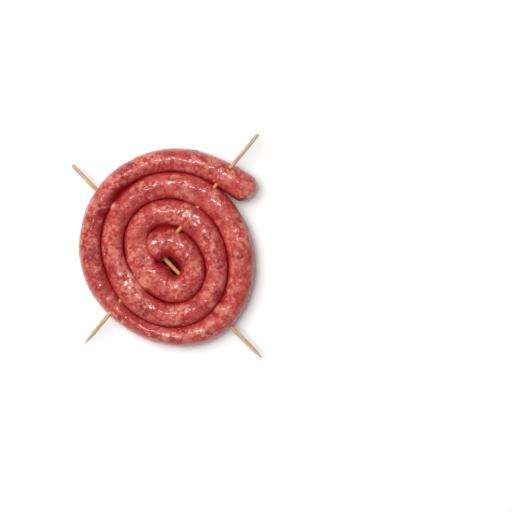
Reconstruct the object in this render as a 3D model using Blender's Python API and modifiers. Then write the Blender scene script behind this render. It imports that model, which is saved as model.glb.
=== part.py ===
"""A raw fresh sausage, one long casing wound flat into a coil and held by two crossed bamboo skewers.

Metres, +Z up. The coil lies on the plane z = 0, and the origin is the bottom centre of the whole part.
The sausage is a sphere drawn out along the spiral, flat underneath where it rests, with two tunnels
for the skewers. Angles along the sausage grow clockwise seen from above, from its inner end outwards.
"""

from math import acos, atan2, cos, exp, pi, radians, sin

import bmesh
import bpy
from mathutils import Matrix, Vector

MM = 0.001

# The spiral: the line where one turn presses on the next, as a radius in mm about the coil's centre.
COIL_CENTRE = (2.7, -11.93)
TURN_RADIUS = 25.16  # mm, at turn angle 0
TURN_PITCH = 19.63  # mm gained by each turn
OFF_CENTRE = (1.78, 5.43)  # mm, first harmonic: the turns sit towards +Y
OFF_CENTRE_DRIFT = (0.08, -0.96)  # mm more by each turn
OVAL = (-1.30, -3.49)  # mm, second harmonic: the turns are oval
OVAL_DRIFT = (-1.24, 0.97)  # mm more by each turn
SQUASHES = (  # (turn angle in degrees, spread in degrees, mm outwards): places where the coil is pushed
    (-60, 40, -0.88),
    (100, 60, 4.08),
    (360, 45, -1.02),
    (830, 50, -9.81),
    (980, 50, -3.11),
)

# The sausage itself.
FIRST_ANGLE = -95.0  # degrees, where the inner end stops following the spiral
LAST_ANGLE = 1014.0  # degrees, where the outer end does
INNER_RUN = 12.0  # mm, the nearly straight inner end
OUTER_RUN = 35.0  # mm, the nearly straight outer end
INNER_BEND = -40.0  # degrees that the inner end still turns over its length
OUTER_BEND = -9.0  # degrees that the outer end does
OUTER_SWELL = 1.2  # mm that the outer end's half width gains
INNER_HALF_WIDTH = 9.9  # mm, of the first turn, which has nothing inside it
NEIGHBOUR_FROM = (120.0, 210.0)  # degrees, over which the first turn's inner neighbour takes over
NATURAL_HEIGHT = 17.8  # mm, height of a stretch that nothing squeezes
HEIGHT_SHARE = 0.25  # how much of a change in width the height follows
TURN_GAP = 0.5  # mm between neighbouring turns
FLAT_SINK = 0.45  # mm pressed flat against what it lies on
SIDES = 14
RING_SPACING = 4.3  # mm
END_RINGS = 6

# Two skewers of one size, one over the other: (centre X, centre Y, height of the axis in mm, angle).
SKEWER_LENGTH = 200.0
SKEWER_RADIUS = 1.5
SKEWER_POINT = 9.0  # mm, length of the sharpened tip
SKEWER_SIDES = 12
CLEARANCE = 0.3  # mm round a skewer in its tunnel
SKEWERS = {
    "skewer_lower": (0.5, -11.53, 8.2, -45.5),
    "skewer_upper": (4.0, 5.07, 12.4, -129.6),
}


def clear_scene():
    for old in list(bpy.data.objects):
        bpy.data.objects.remove(old)


def new_collection(name):
    collection = bpy.data.collections.new(name)
    bpy.context.scene.collection.children.link(collection)
    return collection


def new_object(name, mesh, collection):
    made = bpy.data.objects.new(name, mesh)
    collection.objects.link(made)
    return made


def principled(name, colour, roughness):
    material = bpy.data.materials.new(name)
    material.use_nodes = True
    shader = material.node_tree.nodes["Principled BSDF"]
    shader.inputs["Base Color"].default_value = (*colour, 1.0)
    shader.inputs["Roughness"].default_value = roughness
    shader.inputs["Metallic"].default_value = 0.0
    return material


def press_line(angle):
    """Radius in mm of the line between two turns, at a turn angle in degrees."""
    turns = angle / 360
    theta = radians(-angle)
    radius = TURN_RADIUS + TURN_PITCH * turns
    radius += (OFF_CENTRE[0] + OFF_CENTRE_DRIFT[0] * turns) * cos(theta)
    radius += (OFF_CENTRE[1] + OFF_CENTRE_DRIFT[1] * turns) * sin(theta)
    radius += (OVAL[0] + OVAL_DRIFT[0] * turns) * cos(2 * theta)
    radius += (OVAL[1] + OVAL_DRIFT[1] * turns) * sin(2 * theta)
    for place, spread, push in SQUASHES:
        radius += push * exp(-(((angle - place) / spread) ** 2))
    return radius


def half_width(angle):
    """Half the width in mm: the first turn's own, then half the room between two press lines."""
    room = (press_line(angle) - press_line(angle - 360) - TURN_GAP) / 2
    share = (angle - NEIGHBOUR_FROM[0]) / (NEIGHBOUR_FROM[1] - NEIGHBOUR_FROM[0])
    share = max(0.0, min(1.0, share))
    ease = share * share * (3 - 2 * share)
    return INNER_HALF_WIDTH + (room - INNER_HALF_WIDTH) * ease


def centre_point(angle):
    """The sausage's centre line in mm, seen from above."""
    radius = press_line(angle) - TURN_GAP / 2 - half_width(angle)
    theta = radians(-angle)
    return Vector((COIL_CENTRE[0] + radius * cos(theta), COIL_CENTRE[1] + radius * sin(theta)))


def run_on(start, heading, width, length, bend, swell=0.0):
    """Points 1 mm apart that go on from a place, turning by the bend and widening by the swell."""
    points = []
    for step in range(1, int(length) + 1):
        heading = Matrix.Rotation(radians(bend / length), 2) @ heading
        start = start + heading
        points.append((start, width + swell * step / length))
    return points


def walk():
    """Points close together along the whole centre line, each with the half width there."""
    points = []
    for degree in range(round(LAST_ANGLE - FIRST_ANGLE) + 1):
        angle = FIRST_ANGLE + degree
        here = centre_point(angle)
        ahead = centre_point(angle + 1) - here
        outward = here - Vector(COIL_CENTRE)
        slant = abs(outward.normalized().cross(ahead.normalized()))
        points.append((here, half_width(angle) * slant))
    first, first_width = points[0]
    last, last_width = points[-1]
    back = (first - points[1][0]).normalized()
    onward = (last - points[-2][0]).normalized()
    inner = run_on(first, back, first_width, INNER_RUN, -INNER_BEND)
    outer = run_on(last, onward, last_width, OUTER_RUN, OUTER_BEND, OUTER_SWELL)
    return inner[::-1] + points + outer


def stations(points):
    """Rings along the sausage, as (centre, heading, half width), close together in its round ends."""
    lengths = [0.0]
    for (before, _), (after, _) in zip(points, points[1:]):
        lengths.append(lengths[-1] + (after - before).length)
    whole = lengths[-1]

    def at(distance):
        place = 0
        while place < len(lengths) - 2 and lengths[place + 1] < distance:
            place += 1
        share = (distance - lengths[place]) / (lengths[place + 1] - lengths[place])
        centre = points[place][0].lerp(points[place + 1][0], share)
        width = points[place][1] + share * (points[place + 1][1] - points[place][1])
        heading = (points[place + 1][0] - points[place][0]).normalized()
        return centre, heading, width

    def round_end(tip, inwards):
        """Rings of a round end, from its tip, as far apart as equal angles on a ball."""
        reach = at(tip)[2] * inwards
        swings = [pi / 2 * ring / END_RINGS for ring in range(END_RINGS)]
        return [(*at(tip + reach * (1 - cos(swing))), sin(swing)) for swing in swings]

    start = at(0)[2]
    middle = whole - start - at(whole)[2]
    count = round(middle / RING_SPACING)
    body = [(*at(start + middle * ring / count), 1.0) for ring in range(count + 1)]
    return round_end(0, 1) + body + round_end(whole, -1)[::-1]


def build_sausage(collection):
    """A sphere's rings, moved one by one to the rings along the spiral, each with a side underneath."""
    rings = stations(walk())
    shape = bmesh.new()
    bmesh.ops.create_uvsphere(shape, u_segments=SIDES, v_segments=len(rings) - 1, radius=1.0)
    for vertex in shape.verts:
        ring = round(acos(max(-1.0, min(1.0, vertex.co.z))) / pi * (len(rings) - 1))
        turn = atan2(vertex.co.y, vertex.co.x) + pi / SIDES
        centre, heading, width, scale = rings[ring]
        tall = NATURAL_HEIGHT / 2 + HEIGHT_SHARE * (width - NATURAL_HEIGHT / 2)
        flat = centre + Vector((heading.y, -heading.x)) * (width * scale * cos(turn))
        level = tall - FLAT_SINK + tall * scale * sin(turn)
        vertex.co = Vector((flat.x, flat.y, max(0.0, level))) * MM
    bmesh.ops.recalc_face_normals(shape, faces=shape.faces)
    mesh = bpy.data.meshes.new("sausage_coil")
    shape.to_mesh(mesh)
    shape.free()
    mesh.shade_smooth()
    return new_object("sausage_coil", mesh, collection)


def turned_rod(name, radius, length, point, collection):
    """A rod along Z, centred on its middle, sharpened at its +Z end when it has a point."""
    top = length / 2
    outline = [(0, top), (radius * 0.2 if point else radius, top)]
    if point:
        outline.append((radius, top - point))
    outline += [(radius, -top), (0, -top)]
    mesh = bpy.data.meshes.new(name)
    corners = [Vector((x, 0, z)) * MM for x, z in outline]
    mesh.from_pydata(corners, [(i, i + 1) for i in range(len(corners) - 1)], [])
    rod = new_object(name, mesh, collection)
    turning = rod.modifiers.new("Turned", "SCREW")
    turning.steps = SKEWER_SIDES
    turning.render_steps = SKEWER_SIDES
    turning.use_merge_vertices = True
    turning.merge_threshold = 0.00005
    turning.use_smooth_shade = True
    return rod


def lay_down(rod, place):
    """Lays a rod at its height, pointing along its angle."""
    x, y, height, angle = place
    lying = Matrix.Rotation(radians(angle), 4, "Z") @ Matrix.Rotation(pi / 2, 4, "Y")
    rod.matrix_world = Matrix.Translation(Vector((x, y, height)) * MM) @ lying


def cut(target, cutter):
    cutter.hide_render = True
    cutter.display_type = "WIRE"
    hole = target.modifiers.new(f"Tunnel {cutter.name}", "BOOLEAN")
    hole.operation = "DIFFERENCE"
    hole.solver = "EXACT"
    hole.object = cutter


def main():
    clear_scene()
    parts = new_collection("sausage coil on skewers")
    cutters = new_collection("cutters")
    meat = principled("sausage_meat", (0.45, 0.07, 0.06), 0.3)
    bamboo = principled("bamboo", (0.72, 0.50, 0.26), 0.65)
    sausage = build_sausage(parts)
    sausage.data.materials.append(meat)
    for name, place in SKEWERS.items():
        skewer = turned_rod(name, SKEWER_RADIUS, SKEWER_LENGTH, SKEWER_POINT, parts)
        skewer.data.materials.append(bamboo)
        lay_down(skewer, place)
        tunnel = turned_rod(f"tunnel_{name}", SKEWER_RADIUS + CLEARANCE, SKEWER_LENGTH, 0, cutters)
        lay_down(tunnel, place)
        cut(sausage, tunnel)


main()
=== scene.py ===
"""The looks of a raw sausage wound into a coil on two bamboo skewers.

It is built around the part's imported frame. The scene is in metres. The shape functions work in
millimetres, as the coil's own sizes are given.
"""

from math import atan2, cos, pi, radians, sin

import bpy
import numpy as np
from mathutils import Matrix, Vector, noise


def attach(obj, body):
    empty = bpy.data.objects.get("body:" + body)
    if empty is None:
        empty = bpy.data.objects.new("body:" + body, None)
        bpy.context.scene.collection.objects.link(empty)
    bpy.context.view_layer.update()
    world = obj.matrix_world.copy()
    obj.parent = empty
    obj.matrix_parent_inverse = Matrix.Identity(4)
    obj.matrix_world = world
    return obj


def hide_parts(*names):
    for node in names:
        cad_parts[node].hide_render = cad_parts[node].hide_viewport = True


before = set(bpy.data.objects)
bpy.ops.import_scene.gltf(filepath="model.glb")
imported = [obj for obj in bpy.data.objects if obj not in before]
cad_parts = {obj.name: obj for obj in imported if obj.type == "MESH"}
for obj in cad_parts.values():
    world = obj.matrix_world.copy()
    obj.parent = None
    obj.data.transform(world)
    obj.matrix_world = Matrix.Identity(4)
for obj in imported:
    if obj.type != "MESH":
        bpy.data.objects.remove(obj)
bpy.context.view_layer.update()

MM = 0.001

# The coil's spiral, as the frame has it: the line where one turn presses on the next.
COIL_CENTRE = np.array((2.7, -11.93))
TURN_RADIUS = 25.16
TURN_PITCH = 19.63
# How far the turns lie off centre and how oval they are, and how much that changes in one turn.
OFF_CENTRE = (1.78, 5.43)
OFF_CENTRE_DRIFT = (0.08, -0.96)
OVAL = (-1.30, -3.49)
OVAL_DRIFT = (-1.24, 0.97)
# Where the line is pushed in or out: turn angle, spread in degrees, mm outwards.
SQUASHES = (
    (-60, 40, -0.88),
    (100, 60, 4.08),
    (360, 45, -1.02),
    (830, 50, -9.81),
    (980, 50, -3.11),
)
FIRST_ANGLE, LAST_ANGLE = -95.0, 1014.0  # between which the sausage follows the spiral
# The two ends, which go on from there: length in mm, bend in degrees.
INNER_RUN, OUTER_RUN = 25.0, 36.5
INNER_BEND, OUTER_BEND = -62.0, -11.0
OUTER_SWELL = 1.3  # mm that the outer end's half width grows
# The first turn has nothing inside it, so it has its own half width, with two fatter stretches.
INNER_HALF_WIDTH = 9.9
INNER_BULGES = ((-110, 45, 2.1), (125, 40, 2.1))
SEAT = (-164, 24, -5.7)  # a squash too: the wall beside the inner end leans in on it
NEIGHBOUR_FROM = (140.0, 200.0)  # turn angles between which the room between turns takes over
FULL_TURN = 352  # degrees from an end of the sausage to where the next turn lies beside it
INNER_CROWDING_FROM = (325, 345)  # degrees from the inner end: crowding on the inner side sets in
NATURAL_HEIGHT = 17.8
HEIGHT_SHARE = 0.25  # how much higher a wider stretch is, as a share of its extra half width
MOST_HALF_HEIGHT = 8.95
FLAT_SINK = 0.45  # mm that the underside is pressed flat on the table
CREST = 1.1  # above 1 draws the flanks in towards the crest, below 1 fills them out
CROWDING = 0.06  # how much wider than its room each turn would be, had it no neighbours
# Where two turns press harder on each other, or stand apart: turn angle, spread, extra crowding.
CROWDED = (
    (-168, 24, 0.42),
    (-196, 16, 0.75),
    (-108, 24, -0.16),
    (-74, 7, -0.12),
    (151, 24, 0.42),
    (590, 12, -0.03),
    (298, 14, 0.11),
    (503, 14, 0.12),
    (470, 60, 0.05),
    (594, 12, -0.14),
)
HOLE_SAG = 0.55  # how far the first turn sags into the hole, as a share of its half width
HOLE_SAG_ENDS = (150, 190)  # turn angles between which the sag dies out

# The casing's surface: a fine net of rings and sides over the whole sausage.
RING_STEP = 0.68  # mm along the sausage
SIDES = 76
END_RINGS = 14
END_CROWD = 1.6  # above 1 sets the end rings closer together towards the tip
BLUNTNESS = (3.0, 2.3)  # of the inner and the outer end; 2 is a ball
HOLE_TURNS = 200  # the turn angle up to which the inner side faces the hole
FREE_FLANK_SHADE = 0.55  # how much of the grooves' painted shade a free flank gets
TOUCH = 0.05  # mm left between a turn and the line where it presses on the next

# Mince under the casing: size of the lumps in mm, seed, octaves, height in mm.
LUMPS = ((8.0, 1, 1, 0.50), (4.4, 4, 1, 0.30), (2.6, 2, 2, 0.17), (1.4, 3, 1, 0.075))
FLANK_CALM = 0.55  # how much lower the lumps are on the flanks, as a share
SWAY = 0.22  # mm that the sausage swells and thins along its length
SWAY_LENGTHS = (6.1, 17.0)
DIMPLE_DEPTH, DIMPLE_REACH = 0.9, 2.6  # mm, where a skewer draws the casing in

SKEWER_RADIUS = 1.5
# Each skewer's middle, x, y and height, and the direction of its point in degrees.
SKEWERS = {"skewer_lower": (0.5, -11.53, 8.2, -45.5), "skewer_upper": (4.0, 5.07, 12.4, -129.6)}
SKEWER_LENGTH = 200.0
SKEWER_POINT = 9.0
SKEWER_SIDES, SKEWER_RINGS = 28, 260
TIP_SHARE = 0.2  # radius left at the very point, as a share
POINT_CURVE = 0.75  # below 1 makes the point's flanks bulge
SAWN_LENGTH, SAWN_SHARE = 0.5, 0.86  # mm of the blunt end that are worn, and the radius left
FIBRE_RIDGES = ((0.035, 7, 1), (0.02, 13, 2))  # height in mm, ridges around, turn of the seed
RIDGE_ROOM = 0.06  # mm kept back from the radius, for the ridges
WAVE, WAVE_LENGTH = 0.02, 7  # mm
UV_LENGTH = 100  # mm of stick for each unit of its texture
SOAK = (60.0, 78.0)  # mm from a skewer's middle, between which the meat's juice gives out

CREASE_WIDTH = 0.8  # mm
SHOULDER_PLACE, SHOULDER_WIDTH, SHOULDER_HEIGHT = 2.4, 1.5, 0.25  # mm, mm, share of the depth
CREASE_WANDER, CREASE_WINDING = 0.5, 5  # mm to either side, and how often

# Folds of the casing: turn angle, lean in mm, depth in mm, and the part of the width they cross.
CREASES = (
    (165.0, 8.5, 1.0, -1.0, 0.4),
    (18.0, -1.7, 0.6, -1.0, 0.5),
    (90.0, -7.8, 0.55, -1.0, 0.15),
    (-70.0, 3.0, 0.3, -1.0, 0.2),
    (232.0, -3.0, 0.3, -0.2, 1.0),
    (405.0, 3.0, 0.3, -1.0, 0.1),
    (640.0, 2.0, 0.25, -1.0, 0.3),
    (936.9, -7.1, 0.9, -1.0, 0.5),
)
# Lumps, dents and patches: turn angle, place across, length and breadth, height in mm, shade
# (above 0 paler, below 0 darker: painted shade in dents, notches and the gap between turns).
MARKS = (
    (763.0, -0.62, 3.8, 3.0, 1.3, 0.40),
    (759.5, -0.10, 3.0, 3.0, 0.35, 0.30),
    (764.5, -0.15, 0.9, 0.9, 0.35, 0.5),
    (762.0, -0.45, 0.9, 0.9, 0.40, 0.5),
    (758.5, -0.15, 0.9, 0.9, 0.35, 0.4),
    (768.9, -0.62, 1.2, 3.6, -1.0, -1.3),
    (756.0, -0.85, 1.5, 2.0, -0.8, -1.2),
    (934.3, -0.62, 3.0, 4.4, -1.3, -1.7),
    (941.0, -0.30, 2.0, 4.4, 0.35, 0.25),
    (953.0, -0.85, 9.0, 2.8, -0.6, -1.3),
    (586.5, 0.90, 1.9, 2.0, 1.0, 2.0),
    (1038.0, -0.25, 2.2, 2.6, 0.2, 0.9),
    (788.5, -0.25, 2.2, 2.6, 0.2, 1.0),
    (777.0, -0.30, 3.6, 2.6, 0.2, 0.9),
    (813.0, 0.35, 3.0, 2.6, 0.1, 0.8),
    (877.0, 0.0, 7.0, 5.0, -0.2, -0.7),
    (649.0, -0.6, 3.0, 2.0, 0.1, 0.6),
    (487.0, 0.80, 9.0, 1.2, 0.5, 0.4),
    (487.0, 0.98, 9.0, 1.2, -0.5, -0.8),
    (855.0, -0.7, 12.0, 3.5, -0.6, -0.5),
    (153.5, 0.0, 1.3, 1.8, 0.35, 0.0),
    (137.0, 0.05, 1.3, 1.8, 0.35, 0.1),
    (122.0, 0.03, 1.3, 1.8, 0.35, 0.1),
    (-113.9, -0.16, 2.4, 2.4, 0.70, 0.2),
    (287.1, 0.05, 2.4, 2.4, -0.50, 0.0),
    (303.8, 0.04, 2.4, 2.4, -0.50, 0.0),
    (171.5, -0.10, 2.4, 2.4, -0.70, -0.2),
    (515.2, -0.27, 2.2, 2.2, -0.45, 0.0),
    (571.4, 0.06, 1.2, 1.2, 0.50, 0.4),
    (219.8, 0.41, 1.2, 1.2, 0.50, 0.3),
    (875.8, 0.06, 1.2, 1.2, 0.45, 0.3),
    (868.5, 0.10, 1.2, 1.2, 0.45, 0.3),
    (487.6, -0.16, 1.2, 1.2, 0.40, 0.2),
    (482.3, -0.08, 1.2, 1.2, 0.40, 0.2),
    (959.7, 0.33, 1.4, 1.2, 0.40, 0.2),
    (607.6, -0.04, 1.6, 1.2, 0.35, 0.1),
    (-138.0, -0.85, 5.0, 5.0, 2.2, 0.0),
    (-61.0, -0.1, 1.4, 1.8, 0.3, 0.0),
    (-38.0, -0.1, 1.6, 1.8, 0.35, 0.1),
    (-18.5, -0.05, 1.6, 1.8, 0.35, 0.1),
)


# ---------------------------------------------------------------- the coil's shape


def press_line(angle):
    """Radius in mm of the line between two turns; angle in degrees, an array or a number."""
    turns = angle / 360
    theta = np.radians(-angle)
    radius = TURN_RADIUS + TURN_PITCH * turns
    radius = radius + (OFF_CENTRE[0] + OFF_CENTRE_DRIFT[0] * turns) * np.cos(theta)
    radius = radius + (OFF_CENTRE[1] + OFF_CENTRE_DRIFT[1] * turns) * np.sin(theta)
    radius = radius + (OVAL[0] + OVAL_DRIFT[0] * turns) * np.cos(2 * theta)
    radius = radius + (OVAL[1] + OVAL_DRIFT[1] * turns) * np.sin(2 * theta)
    for place, spread, push in SQUASHES + (SEAT,):
        radius = radius + push * np.exp(-(((angle - place) / spread) ** 2))
    return radius


def smooth_step(low, high, value):
    """0 at low and below, 1 at high and above, with no corner at either."""
    share = np.clip((value - low) / (high - low), 0, 1)
    return share * share * (3 - 2 * share)


def half_width(angle):
    """Half the sausage's width in mm at a turn angle."""
    room = (press_line(angle) - press_line(angle - 360)) / 2
    ease = smooth_step(*NEIGHBOUR_FROM, angle)
    free = INNER_HALF_WIDTH
    for place, spread, push in INNER_BULGES:
        free = free + push * np.exp(-(((angle - place) / spread) ** 2))
    return free + (room - free) * ease


def spiral_stretch():
    """Centres and half widths along the part that follows the spiral, one for each degree."""
    angle = np.arange(FIRST_ANGLE, LAST_ANGLE + 1.5)
    wide = half_width(angle)
    radius = press_line(angle) - wide
    theta = np.radians(-angle)
    centre = COIL_CENTRE + radius[:, None] * np.stack([np.cos(theta), np.sin(theta)], 1)
    step = np.diff(centre, axis=0)
    outward = (centre - COIL_CENTRE)[:-1]
    crossed = outward[:, 0] * step[:, 1] - outward[:, 1] * step[:, 0]
    slant = np.abs(crossed) / np.linalg.norm(outward, axis=1) / np.linalg.norm(step, axis=1)
    return centre[:-1], wide[:-1] * slant


def run_on(start, heading, wide, length, bend, swell=0.0, steps=60):
    """Centres and half widths of an end that goes on from a place with a slight bend."""
    turned = atan2(heading[1], heading[0]) + np.radians(bend) * np.arange(1, steps + 1) / steps
    hops = np.stack([np.cos(turned), np.sin(turned)], 1) * length / steps
    return start + np.cumsum(hops, 0), wide + swell * np.arange(1, steps + 1) / steps


def crowding(angle):
    """How much wider than its room a turn would be on its outer side."""
    extra = CROWDING
    for place, spread, push in CROWDED:
        extra = extra + push * np.exp(-(((angle - place) / spread) ** 2))
    return extra


def eased(values, reach=9):
    """Values along a line, each averaged with its neighbours; the two ends stay put."""
    before = 2 * values[:1] - values[reach:0:-1]
    after = 2 * values[-1:] - values[-2 : -reach - 2 : -1]
    padded = np.concatenate([before, values, after])
    weights = np.hanning(2 * reach + 3)[1:-1]
    weights = weights / weights.sum()
    if values.ndim == 1:
        return np.convolve(padded, weights, "valid")
    return np.stack([np.convolve(column, weights, "valid") for column in padded.T], 1)


def centre_line():
    """The whole centre line: distance along it, place, half width, all in mm."""
    places, wide = spiral_stretch()
    inner, inner_wide = run_on(places[0], places[0] - places[1], wide[0], INNER_RUN, -INNER_BEND)
    outer, outer_wide = run_on(
        places[-1], places[-1] - places[-2], wide[-1], OUTER_RUN, OUTER_BEND, OUTER_SWELL
    )
    places = eased(np.concatenate([inner[::-1], places, outer]))
    wide = eased(np.concatenate([inner_wide[::-1], wide, outer_wide]))
    along = np.concatenate([[0], np.cumsum(np.linalg.norm(np.diff(places, axis=0), axis=1))])
    return along, places, wide


def ring_stations(along, wide):
    """Where the rings stand along the sausage, and how full each is: 0 at the tips, 1 between."""
    reach_in = (np.arange(1, END_RINGS) / END_RINGS) ** END_CROWD
    inner_full, outer_full = [(1 - (1 - reach_in) ** bulge) ** (1 / bulge) for bulge in BLUNTNESS]
    start, end = wide[0], wide[-1]
    count = round((along[-1] - start - end) / RING_STEP)
    middle = np.linspace(start, along[-1] - end, count + 1)
    stations = np.concatenate([reach_in * start, middle, along[-1] - reach_in[::-1] * end])
    return stations, np.concatenate([inner_full, np.ones(count + 1), outer_full[::-1]])


def unwrapped_angle(places):
    """The turn angle in degrees of each centre, growing all the way outwards."""
    off = places - COIL_CENTRE
    theta = np.unwrap(np.arctan2(off[:, 1], off[:, 0]))
    angle = -np.degrees(theta)
    near_inner_end = angle[len(angle) // 200]
    return angle + 360 * np.round((FIRST_ANGLE - near_inner_end) / 360)


def field(points, size, seed, octaves):
    """Smooth noise from about -1 to 1 at each point, in bumps of about the given size in mm."""
    offset = Vector((seed * 17.3, seed * 5.1, seed * 9.7))
    values = np.empty(len(points))
    for index, point in enumerate(points):
        place = Vector(point) / size + offset
        total = noise.noise(place)
        if octaves > 1:
            total += 0.5 * noise.noise(place * 2.1)
        values[index] = total
    return values


class Casing:
    """The sausage's surface as a net of points, ring by side, in mm."""

    def __init__(self):
        along, places, wide = centre_line()
        turn = unwrapped_angle(places)
        self.stations, self.full = ring_stations(along, wide)
        self.centre = np.stack([np.interp(self.stations, along, places[:, k]) for k in (0, 1)], 1)
        self.wide = np.interp(self.stations, along, wide)
        self.turn = np.interp(self.stations, along, turn)
        ahead = np.gradient(self.centre, axis=0)
        self.heading = ahead / np.linalg.norm(ahead, axis=1)[:, None]
        # Sides start at the bottom and go round; outward is the side away from the coil's middle.
        self.outward = np.stack([-self.heading[:, 1], self.heading[:, 0]], 1)
        self.phi = -pi / 2 + 2 * pi * (np.arange(SIDES) + 0.5) / SIDES
        tall = NATURAL_HEIGHT / 2 + HEIGHT_SHARE * (self.wide - NATURAL_HEIGHT / 2)
        self.tall = np.minimum(tall, MOST_HALF_HEIGHT)
        self.tips = places[0], places[-1]

    def plain(self):
        """Every point of the smooth tube, before lumps: array of ring, side, xyz."""
        round_x = np.sign(np.cos(self.phi)) * np.abs(np.cos(self.phi)) ** CREST
        round_z = np.sin(self.phi)
        crowd_out = 1 + crowding(self.turn) * (self.turn < self.turn[-1] - FULL_TURN)
        low_turn, high_turn = [self.turn[0] + part for part in INNER_CROWDING_FROM]
        crowd_in = 1 + crowding(self.turn - 360) * smooth_step(low_turn, high_turn, self.turn)
        outer_side = np.cos(self.phi)[None, :] > 0
        crowd = np.where(outer_side, crowd_out[:, None], crowd_in[:, None])
        # Below the middle every turn fills its room, so that no gap opens down to the table.
        height = np.sin(self.phi)[None, :]
        below = smooth_step(0.25, 0.0, height)
        crowd = crowd + below * (np.maximum(crowd, 1 + CROWDING) - crowd) * (crowd < 1 + CROWDING)
        low = smooth_step(0.0, -0.5, height)
        beside_hole = (1 - smooth_step(*HOLE_SAG_ENDS, self.turn))[:, None]
        sag = 1 + HOLE_SAG * low * ~outer_side * beside_hole
        reach = (self.wide * self.full)[:, None] * round_x * crowd * sag
        flat = self.centre[:, None, :] + self.outward[:, None, :] * reach[:, :, None]
        level = self.tall[:, None] - FLAT_SINK + (self.tall * self.full)[:, None] * round_z
        return np.concatenate([flat, level[:, :, None]], 2)

    def touching(self):
        """1 on the sides that lie against another turn, 0 on the free ones."""
        outer = (self.turn < self.turn[-1] - FULL_TURN)[:, None] * (np.cos(self.phi) > 0)[None, :]
        inner = (self.turn > self.turn[0] + FULL_TURN)[:, None] * (np.cos(self.phi) < 0)[None, :]
        return 1.0 * (outer | inner)

    def normals(self, points):
        """Unit vectors that point out of the tube."""
        along = np.gradient(points, axis=0)
        around = np.roll(points, -1, axis=1) - np.roll(points, 1, axis=1)
        normal = np.cross(around, along)
        normal /= np.linalg.norm(normal, axis=2)[:, :, None] + 1e-9
        centre = np.concatenate([self.centre, self.tall[:, None]], 1)[:, None, :]
        facing = np.sign(np.sum(normal * (points - centre), axis=2).mean())
        return normal * facing

    def pressed(self, points):
        """Points held between the two press lines of their turn, and above the table."""
        off = points[:, :, :2] - COIL_CENTRE
        radius = np.linalg.norm(off, axis=2)
        theta = np.arctan2(off[:, :, 1], off[:, :, 0])
        ring_off = self.centre - COIL_CENTRE
        ring_theta = np.arctan2(ring_off[:, 1], ring_off[:, 0])[:, None]
        swing = (theta - ring_theta + pi) % (2 * pi) - pi
        turn = self.turn[:, None] - np.degrees(swing)
        outer = press_line(turn) - TOUCH
        inner = press_line(turn - 360) + TOUCH
        limit = np.where(turn < self.turn[-1] - FULL_TURN, outer, np.inf)
        floor = np.where(turn > self.turn[0] + FULL_TURN, inner, 0.0)
        held = np.clip(radius, floor, limit)
        scale = (held / np.maximum(radius, 1e-6))[:, :, None]
        flat = COIL_CENTRE + off * scale
        return np.concatenate([flat, np.maximum(points[:, :, 2:], 0.0)], 2)


def across_and_along(casing):
    """For each ring and side: share of the half width outwards (-1 to 1), and mm along."""
    across = np.broadcast_to(np.cos(casing.phi)[None, :], (len(casing.turn), SIDES))
    along = np.broadcast_to(casing.stations[:, None], across.shape)
    return across, along


def lumps(casing, points):
    """How far in mm each point stands out: mince under a tight casing."""
    flat = points.reshape(-1, 3)
    push = sum(height * field(flat, size, seed, octaves) for size, seed, octaves, height in LUMPS)
    return push.reshape(points.shape[:2]) * (1 - FLANK_CALM * np.abs(np.cos(casing.phi)) ** 2)


def creases(casing):
    """Folds across the casing where it bends tightly: mm pushed out, so below 0 in the fold."""
    across, along = across_and_along(casing)
    dent = np.zeros(across.shape)
    for angle, slope, depth, inner, outer in CREASES:
        place = np.interp(angle, casing.turn, casing.stations)
        wander = CREASE_WANDER * np.sin(across * CREASE_WINDING + angle)
        distance = along - place - slope * across - wander
        begun = smooth_step(inner - 0.25, inner + 0.1, across)
        ended = smooth_step(outer - 0.2, outer + 0.2, across)
        groove = np.exp(-((distance / CREASE_WIDTH) ** 2))
        shoulders = np.exp(-(((np.abs(distance) - SHOULDER_PLACE) / SHOULDER_WIDTH) ** 2))
        dent += depth * (begun * (1 - ended)) * (SHOULDER_HEIGHT * shoulders - groove)
    return dent


def marks(casing):
    """Single lumps and dents: mm pushed out, and how pale (above 0) or dark with painted shade
    (below 0).
    """
    across, along = across_and_along(casing)
    upper = smooth_step(-0.3, 0.1, np.sin(casing.phi))[None, :]
    push = np.zeros(across.shape)
    paleness_and_painted_shade = np.zeros(across.shape)
    for angle, side, length, breadth, height, shade in MARKS:
        place = np.interp(angle, casing.turn, casing.stations)
        wide = np.interp(angle, casing.turn, casing.wide)
        far = ((along - place) / length) ** 2 + ((across - side) * wide / breadth) ** 2
        spot = np.exp(-far) * upper
        push += height * spot
        paleness_and_painted_shade += shade * spot
    return push, paleness_and_painted_shade


def skewer_dimples(points):
    """The casing drawn in where a skewer goes through it."""
    flat = points.reshape(-1, 3)
    dent = np.zeros(len(flat))
    for x, y, height, angle in SKEWERS.values():
        direction = np.array((cos(radians(angle)), sin(radians(angle)), 0.0))
        off = flat - np.array((x, y, height))
        off = off - np.outer(off @ direction, direction)
        away = np.linalg.norm(off, axis=1)
        dent -= DIMPLE_DEPTH * np.exp(-((away / DIMPLE_REACH) ** 2))
    return dent.reshape(points.shape[:2])


def ring_faces(rings, sides):
    """Quads between neighbouring rings of points, and round each ring."""
    ring = np.arange(rings - 1)[:, None] * sides
    side = np.arange(sides)[None, :]
    following = (side + 1) % sides
    corners = (ring + side, ring + following, ring + sides + following, ring + sides + side)
    return np.stack(corners, 2).reshape(-1, 4).tolist()


def tip_faces(rings, sides):
    """Triangles from the two tips, which come after all the rings' points, to the end rings."""
    side = np.arange(sides)
    following = (side + 1) % sides
    first_tip, last_tip = rings * sides, rings * sides + 1
    last_ring = (rings - 1) * sides
    start = np.stack([np.full(sides, first_tip), following, side], 1)
    end = np.stack([np.full(sides, last_tip), last_ring + side, last_ring + following], 1)
    return start.tolist() + end.tolist()


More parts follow.
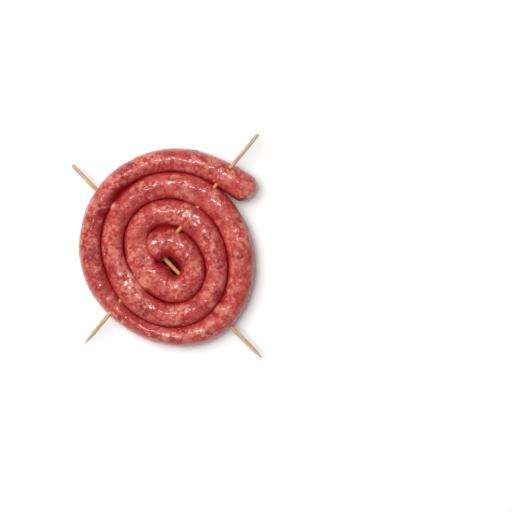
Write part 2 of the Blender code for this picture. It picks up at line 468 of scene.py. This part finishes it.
def shading_layers(casing, paleness_and_painted_shade):
    """What the meat's material reads at each point: pale marks and the painted shade of dark
    ones, painted shade on the flanks and in the grooves, and painted shade down in the hole.
    """
    flank = np.abs(np.cos(casing.phi))[None, :] * np.ones((len(casing.turn), 1))
    hole_side = (casing.turn < HOLE_TURNS)[:, None] * (np.cos(casing.phi) < 0)[None, :]
    # Painted shade: the flanks darken towards the grooves where turns touch, towards the hole,
    # and a little on the free flanks too.
    groove = smooth_step(0.60, 1.0, flank) * casing.touching()
    groove = np.maximum(groove, smooth_step(0.35, 0.85, flank) * hole_side)
    groove = np.maximum(groove, FREE_FLANK_SHADE * smooth_step(0.65, 1.0, flank))
    # Painted shade low down in the hole, going near black.
    depth = smooth_step(0.55, -0.25, np.sin(casing.phi))[None, :]
    hole_shade = depth * hole_side * smooth_step(0.30, 0.75, flank)
    return {"paleness_and_painted_shade": paleness_and_painted_shade, "groove": groove, "hole_shade": hole_shade}


def build_sausage():
    casing = Casing()
    smooth = casing.plain()
    mark_push, paleness_and_painted_shade = marks(casing)
    swing, swell = [casing.stations / length for length in SWAY_LENGTHS]
    sway = SWAY * np.sin(swing) * np.sin(swell + 1.0)
    push = lumps(casing, smooth) + creases(casing) + mark_push + sway[:, None]
    push = push + skewer_dimples(smooth) * (1 - casing.touching())
    points = casing.pressed(smooth + casing.normals(smooth) * push[:, :, None])
    tips = [np.append(casing.tips[end], casing.tall[-end] - FLAT_SINK) for end in (0, 1)]
    verts = np.concatenate([points.reshape(-1, 3), tips]) * MM
    faces = ring_faces(len(points), SIDES) + tip_faces(len(points), SIDES)
    mesh = bpy.data.meshes.new("sausage")
    mesh.from_pydata(verts.tolist(), [], faces)
    mesh.shade_smooth()
    for name, values in shading_layers(casing, paleness_and_painted_shade).items():
        layer = mesh.attributes.new(name, "FLOAT", "POINT")
        layer.data.foreach_set("value", np.append(values.ravel(), [0.0, 0.0]).astype(np.float32))
    made = bpy.data.objects.new("sausage", mesh)
    bpy.context.scene.collection.objects.link(made)
    return made


# ---------------------------------------------------------------- materials


# Where the Mix node keeps its colour sockets.
COLOUR_A, COLOUR_B, COLOUR_RESULT = 6, 7, 2


class Nodes:
    """A material's node tree, with short ways to add and join nodes."""

    def __init__(self, name):
        self.material = bpy.data.materials.new(name)
        self.material.use_nodes = True
        self.tree = self.material.node_tree
        self.shader = self.tree.nodes["Principled BSDF"]

    def add(self, kind, **settings):
        """A new node with its settings made."""
        node = self.tree.nodes.new(kind)
        for key, value in settings.items():
            setattr(node, key, value)
        return node

    def link(self, source, target):
        self.tree.links.new(source, target)

    def noise(self, where, scale, detail, roughness=0.5, output="Fac"):
        """Cloudy noise: a number, or a random vector with output set to Color."""
        node = self.add("ShaderNodeTexNoise")
        node.inputs["Scale"].default_value = scale
        node.inputs["Detail"].default_value = detail
        node.inputs["Roughness"].default_value = roughness
        self.link(where, node.inputs["Vector"])
        return node.outputs[output]

    def attribute(self, name):
        """A number kept at each of the mesh's points."""
        return self.add("ShaderNodeAttribute", attribute_name=name).outputs["Fac"]

    def chunks(self, where, scale, smoothness):
        """A random colour for each soft-edged chunk."""
        node = self.add("ShaderNodeTexVoronoi", feature="SMOOTH_F1")
        node.inputs["Scale"].default_value = scale
        node.inputs["Smoothness"].default_value = smoothness
        self.link(where, node.inputs["Vector"])
        return node.outputs["Color"]

    def channel(self, colour, index):
        """Red, green or blue alone."""
        node = self.add("ShaderNodeSeparateColor")
        self.link(colour, node.inputs[0])
        return node.outputs[index]

    def ramp(self, value, *stops):
        """Colour ramp; each stop is (position, grey or (r, g, b))."""
        node = self.add("ShaderNodeValToRGB")
        ramp = node.color_ramp
        while len(ramp.elements) < len(stops):
            ramp.elements.new(0.5)
        for element, (place, tone) in zip(ramp.elements, stops):
            element.position = place
            rgb = (tone, tone, tone) if isinstance(tone, (int, float)) else tone
            element.color = (*rgb, 1.0)
        self.link(value, node.inputs["Fac"])
        return node.outputs["Color"]

    def mix(self, share, first, second):
        """First colour where the share is 0, second where it is 1."""
        node = self.add("ShaderNodeMix", data_type="RGBA")
        self.plug(share, node.inputs["Factor"])
        self.plug(first, node.inputs[COLOUR_A])
        self.plug(second, node.inputs[COLOUR_B])
        return node.outputs[COLOUR_RESULT]

    def plug(self, value, socket):
        """Puts a colour or number on a socket, or links another node's output to it."""
        if isinstance(value, tuple):
            socket.default_value = (*value, 1.0)
        elif isinstance(value, (int, float)):
            socket.default_value = value
        else:
            self.link(value, socket)

    def math(self, operation, first, second, clamp=False):
        node = self.add("ShaderNodeMath", operation=operation, use_clamp=clamp)
        self.plug(first, node.inputs[0])
        self.plug(second, node.inputs[1])
        return node.outputs[0]

    def bump(self, height, strength, distance, normal=None):
        node = self.add("ShaderNodeBump")
        node.inputs["Strength"].default_value = strength
        node.inputs["Distance"].default_value = distance
        self.link(height, node.inputs["Height"])
        if normal is not None:
            self.link(normal, node.inputs["Normal"])
        return node.outputs["Normal"]

    def set(self, **settings):
        """Sets plain numbers or colours on the shader's own sockets."""
        for name, value in settings.items():
            self.shader.inputs[name.replace("_", " ")].default_value = value


LEAN_DARK = (0.28, 0.013, 0.018)
LEAN = (0.43, 0.036, 0.032)
LEAN_PALE = (0.52, 0.072, 0.056)
FAT = (0.60, 0.160, 0.112)
FAT_PALE = (0.73, 0.280, 0.205)
# Painted shade: darker reds for the flanks and the grooves between turns.
GROOVE_SHADE_RED = (0.34, 0.012, 0.016)
GROOVE_SHADE_DEEP = (0.34, 0.008, 0.012)
# Painted shade, near black, for low down in the hole.
HOLE_SHADE = (0.060, 0.002, 0.006)

# Scales of the meat's patterns; a higher number is a finer pattern.
WARP, BROAD, MIDDLE, SPECK, PLENTY = 420.0, 75.0, 190.0, 620.0, 60.0
CHUNK, CRUMB = 300.0, 560.0
GRAIN, FINE, WET = 480.0, 950.0, 260.0
WARP_REACH = 0.0024  # m that the warp shifts what is drawn on it
CHUNK_SOFTNESS, CRUMB_SOFTNESS = 0.75, 0.55
CHUNK_PALENESS, CRUMB_PALENESS = 0.58, 0.62
GRAIN_BUMP, FINE_BUMP = (0.60, 0.0006), (0.5, 0.0004)  # strength, and distance in m


def meat_material():
    """Coarse mince under a thin wet casing: lean meat, pale bits of fat, and a clear gloss."""
    n = Nodes("raw_sausage")
    where = n.add("ShaderNodeTexCoord").outputs["Object"]
    shift = n.add("ShaderNodeVectorMath", operation="MULTIPLY_ADD")
    shift.inputs[1].default_value = (WARP_REACH, WARP_REACH, WARP_REACH)
    n.link(n.noise(where, WARP, 1.0, output="Color"), shift.inputs[0])
    n.link(where, shift.inputs[2])
    bent = shift.outputs[0]

    # Lean meat, in soft patches over soft patches.
    broad = n.noise(where, BROAD, 1.0)
    colour = n.ramp(broad, (0.34, LEAN_DARK), (0.46, LEAN), (0.55, LEAN), (0.68, LEAN_PALE))
    middle = n.noise(bent, MIDDLE, 2.0)
    colour = n.mix(n.ramp(middle, (0.50, 0.0), (0.74, 0.66)), colour, LEAN_PALE)
    colour = n.mix(n.ramp(middle, (0.26, 0.62), (0.48, 0.0)), colour, LEAN_DARK)
    speck = n.noise(where, SPECK, 3.0, 0.6)
    colour = n.mix(n.ramp(speck, (0.50, 0.0), (0.74, 0.50)), colour, FAT)
    colour = n.mix(n.ramp(speck, (0.28, 0.50), (0.48, 0.0)), colour, LEAN_DARK)

    # Bits of fat: pale soft-edged chunks, thicker in some stretches than in others.
    plenty = n.ramp(n.noise(where, PLENTY, 2.0), (0.38, 0.15), (0.62, 1.0))
    chunk = n.chunks(bent, CHUNK, CHUNK_SOFTNESS)
    fat = n.math("MULTIPLY", n.ramp(n.channel(chunk, 0), (0.48, 0.0), (0.74, 1.0)), plenty)
    colour = n.mix(n.math("MULTIPLY", fat, CHUNK_PALENESS), colour, FAT_PALE)
    crumb = n.chunks(bent, CRUMB, CRUMB_SOFTNESS)
    crumb_fat = n.math("MULTIPLY", n.ramp(n.channel(crumb, 1), (0.54, 0.0), (0.80, 1.0)), plenty)
    colour = n.mix(n.math("MULTIPLY", crumb_fat, CRUMB_PALENESS), colour, FAT_PALE)

    # Painted shade, darker red, on the flanks and down in the grooves; single pale marks, and
    # dark ones that paint shade into dents; and painted shade, near black, down in the hole.
    groove = n.attribute("groove")
    colour = n.mix(n.ramp(groove, (0.0, 0.0), (1.0, 0.9)), colour, GROOVE_SHADE_RED)
    colour = n.mix(n.ramp(groove, (0.60, 0.0), (1.0, 0.8)), colour, GROOVE_SHADE_DEEP)
    paleness_and_painted_shade = n.attribute("paleness_and_painted_shade")
    colour = n.mix(n.math("MULTIPLY", paleness_and_painted_shade, 0.8, clamp=True), colour, FAT_PALE)
    # Below 0 the marks paint shade into their dents, notches and the gap between turns.
    colour = n.mix(n.math("MULTIPLY", paleness_and_painted_shade, -0.8, clamp=True), colour, LEAN_DARK)
    colour = n.mix(n.math("MULTIPLY", n.attribute("hole_shade"), 0.9), colour, HOLE_SHADE)
    n.link(colour, n.shader.inputs["Base Color"])

    normal = n.bump(n.noise(bent, GRAIN, 3.0, 0.6), *GRAIN_BUMP)
    normal = n.bump(n.noise(where, FINE, 2.0), *FINE_BUMP, normal)
    n.link(normal, n.shader.inputs["Normal"])
    wet = n.noise(where, WET, 2.0)
    n.link(n.ramp(wet, (0.35, 0.24), (0.65, 0.40)), n.shader.inputs["Roughness"])
    n.set(Specular_IOR_Level=0.28)
    n.set(Coat_Weight=0.8, Coat_Roughness=0.18, Coat_IOR=1.4)
    n.set(Subsurface_Weight=0.10, Subsurface_Radius=(1.0, 0.35, 0.25), Subsurface_Scale=0.0012)
    return n.material


STRAW = (0.64, 0.44, 0.24)
STRAW_PALE = (0.74, 0.57, 0.37)
STRAW_DARK = (0.42, 0.23, 0.09)
SOAKED = (0.58, 0.235, 0.054)
FIBRE_STRETCH = (20.0, 60.0, 1.0)  # along the stick, around it


def bamboo_material():
    """Split bamboo: pale straw with fine darker fibres, soaked brown in the meat."""
    n = Nodes("split_bamboo")
    where = n.add("ShaderNodeTexCoord").outputs["UV"]
    stretch = n.add("ShaderNodeMapping")
    stretch.inputs["Scale"].default_value = FIBRE_STRETCH
    n.link(where, stretch.inputs["Vector"])
    fibre = n.noise(stretch.outputs[0], 1.0, 4.0, 0.6)
    patch = n.noise(where, 11.0, 3.0, 0.6)
    tone = n.ramp(fibre, (0.30, STRAW_DARK), (0.48, STRAW), (0.70, STRAW_PALE))
    colour = n.mix(n.ramp(patch, (0.44, 0.0), (0.60, 0.85)), tone, STRAW_DARK)
    colour = n.mix(n.math("MULTIPLY", n.attribute("soak"), 0.88), colour, SOAKED)
    n.link(colour, n.shader.inputs["Base Color"])
    n.link(n.bump(fibre, 0.5, 0.0003), n.shader.inputs["Normal"])
    n.link(n.ramp(fibre, (0.3, 0.60), (0.7, 0.42)), n.shader.inputs["Roughness"])
    return n.material


# ---------------------------------------------------------------- skewers


def stick_points(seed, along, around):
    """The stick's points in mm, ring by side, its middle at the origin and its point at +x."""
    (low, few, one), (small, many, two) = FIBRE_RIDGES
    ridges = low * np.sin(around * few + one * seed) + small * np.sin(around * many + two * seed)
    point = np.clip((SKEWER_LENGTH / 2 - along) / SKEWER_POINT, 0, 1) ** POINT_CURVE
    blunt = np.clip((along + SKEWER_LENGTH / 2) / SAWN_LENGTH, 0, 1)
    size = (TIP_SHARE + (1 - TIP_SHARE) * point) * (SAWN_SHARE + (1 - SAWN_SHARE) * blunt)
    radius = (SKEWER_RADIUS - RIDGE_ROOM + ridges[None, :]) * size[:, None]
    radius = radius + WAVE * np.sin(along / WAVE_LENGTH + seed)[:, None]
    middle = np.broadcast_to(along[:, None], radius.shape)
    return np.stack([middle, radius * np.cos(around), radius * np.sin(around)], 2)


def stick_faces():
    """Quads between the rings, and one face over each end."""
    rings, sides = SKEWER_RINGS, SKEWER_SIDES
    faces = []
    for ring in range(rings - 1):
        low, high = ring * sides, (ring + 1) * sides
        for side in range(sides):
            following = (side + 1) % sides
            faces.append((low + side, high + side, high + following, low + following))
    faces.append(tuple(range(sides)))
    faces.append(tuple(reversed(range((rings - 1) * sides, rings * sides))))
    return faces


def build_skewer(node):
    """A bamboo stick with fibre ridges, a rough sawn end and a whittled point."""
    x, y, height, angle = SKEWERS[node]
    along = np.linspace(-SKEWER_LENGTH / 2, SKEWER_LENGTH / 2, SKEWER_RINGS)
    around = 2 * pi * np.arange(SKEWER_SIDES) / SKEWER_SIDES
    local = stick_points(len(node), along, around)
    turn = radians(angle)
    spin = np.array(((cos(turn), -sin(turn), 0), (sin(turn), cos(turn), 0), (0, 0, 1)))
    verts = local.reshape(-1, 3) @ spin.T + np.array((x, y, height))
    mesh = bpy.data.meshes.new(f"{node}_stick")
    mesh.from_pydata((verts * MM).tolist(), [], stick_faces())
    uv = mesh.uv_layers.new(name="UVMap")
    coords = np.zeros((len(mesh.loops), 2))
    index = np.array([loop.vertex_index for loop in mesh.loops])
    coords[:, 0] = along[index // SKEWER_SIDES] / UV_LENGTH
    coords[:, 1] = np.abs((index % SKEWER_SIDES) / SKEWER_SIDES * 2 - 1)
    uv.data.foreach_set("uv", coords.ravel())
    mesh.shade_smooth()
    mesh.validate()
    soak = np.interp(np.abs(along), SOAK, (1.0, 0.0))
    layer = mesh.attributes.new("soak", "FLOAT", "POINT")
    layer.data.foreach_set("value", np.repeat(soak, SKEWER_SIDES).astype(np.float32))
    stick = bpy.data.objects.new(f"{node}_stick", mesh)
    bpy.context.scene.collection.objects.link(stick)
    return stick


# ---------------------------------------------------------------- stage


WORLD_STRENGTH = 0.24
# Lights, aimed at the part's origin: place and size in m, power in W.
SOFT_LIGHT = ((-0.63, 0.40, 1.75), (1.9, 1.9), 51.0)
KEY_LIGHT = ((0.02, 0.42, 1.1), (0.24, 0.12), 6.0)

FLOOR_SIZE, FLOOR_DROP = 6.0, 0.0001  # m, and how far it lies below the part
VIEW_CENTRE = (0.0663, -0.00753)
VIEW_LEVEL, FRAME_WIDTH = 0.009, 0.3789  # m: the frame's width at that height
LENS, SENSOR = 85.0, 36.0


def build_floor():
    bpy.ops.mesh.primitive_plane_add(size=FLOOR_SIZE, location=(0, 0, -FLOOR_DROP))
    floor = bpy.context.object
    floor.name = "floor"
    n = Nodes("white_floor")
    n.set(Base_Color=(0.93, 0.93, 0.93, 1), Roughness=0.9, Specular_IOR_Level=0.1)
    floor.data.materials.append(n.material)


def add_area(name, place, size, power):
    light = bpy.data.lights.new(name, "AREA")
    light.shape = "RECTANGLE"
    light.size, light.size_y = size
    light.energy = power
    lamp = bpy.data.objects.new(name, light)
    lamp.location = place
    lamp.rotation_euler = (-Vector(place)).to_track_quat("-Z", "Y").to_euler()
    bpy.context.scene.collection.objects.link(lamp)
    return lamp


def build_lights():
    """A broad soft light that shades the part, and a small one that only makes its highlights."""
    world = bpy.data.worlds.new("studio")
    world.use_nodes = True
    background = world.node_tree.nodes["Background"]
    background.inputs["Color"].default_value = (1.0, 1.0, 1.0, 1)
    background.inputs["Strength"].default_value = WORLD_STRENGTH
    bpy.context.scene.world = world
    add_area("soft", *SOFT_LIGHT).visible_glossy = False
    add_area("key", *KEY_LIGHT).visible_diffuse = False


def build_camera():
    """Straight down, from where the photograph was taken: over a point to the coil's right."""
    camera = bpy.data.cameras.new("camera")
    camera.lens = LENS
    camera.sensor_width = SENSOR
    seen = bpy.data.objects.new("camera", camera)
    seen.location = (*VIEW_CENTRE, VIEW_LEVEL + FRAME_WIDTH * LENS / SENSOR)
    bpy.context.scene.collection.objects.link(seen)
    bpy.context.scene.camera = seen


def main():
    sausage = build_sausage()
    sausage.data.materials.append(meat_material())
    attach(sausage, "root")
    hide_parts("sausage_coil")
    bamboo = bamboo_material()
    for node in SKEWERS:
        stick = build_skewer(node)
        stick.data.materials.append(bamboo)
        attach(stick, "root")
        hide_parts(node)
    build_floor()
    build_lights()
    build_camera()
    scene = bpy.context.scene
    scene.view_settings.view_transform = "Standard"
    scene.view_settings.look = "None"


main()
